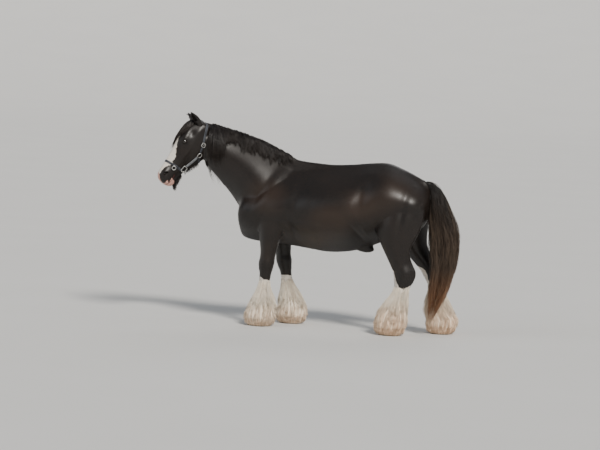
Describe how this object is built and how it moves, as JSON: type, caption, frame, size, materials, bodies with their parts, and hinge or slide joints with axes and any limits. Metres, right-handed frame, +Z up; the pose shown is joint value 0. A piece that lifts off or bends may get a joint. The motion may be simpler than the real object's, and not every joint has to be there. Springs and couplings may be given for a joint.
{
  "type": "horse",
  "caption": "Life-size standing cob horse with a dark coat, white feathered legs, mane and tail, wearing a plain headcollar; a still model without joints.",
  "frame": {"origin": "on the floor, at the middle of the bounding box", "axes": "+X towards the tail, -X the way the horse faces, +Y towards its off (far, right) side, +Z up"},
  "size_m": [2.6772, 0.7168, 1.8572],
  "materials": {
    "coat": "short glossy dark hair",
    "tail_hair": "long dark hair, reddish towards the ends",
    "feather": "long cream-white hair",
    "horn": "dull horn of the hoof",
    "eye": "wet, very dark brown",
    "strap": "worn dark webbing",
    "steel": "plain bright metal"
  },
  "bodies": {
    "root": {"torso": "coat", "neck": "coat", "head": "coat", "near_ear": "coat", "far_ear": "coat", "near_fore_upper_leg": "coat", "far_fore_upper_leg": "coat", "near_hind_upper_leg": "coat", "far_hind_upper_leg": "coat", "tail": "tail_hair", "near_fore_lower_leg": "feather", "near_fore_hoof": "horn", "far_fore_lower_leg": "feather", "far_fore_hoof": "horn", "near_hind_lower_leg": "feather", "near_hind_hoof": "horn", "far_hind_lower_leg": "feather", "far_hind_hoof": "horn", "near_eye": "eye", "far_eye": "eye", "noseband": "strap", "crown_strap": "strap", "throat_strap": "strap", "near_cheek_strap": "strap", "far_cheek_strap": "strap", "near_jowl_strap": "strap", "far_jowl_strap": "strap", "near_nose_ring": "steel", "far_nose_ring": "steel", "near_cheek_ring": "steel", "far_cheek_ring": "steel", "near_crown_buckle": "steel", "far_crown_buckle": "steel", "nose_buckle": "steel"}
  },
  "joints": []
}
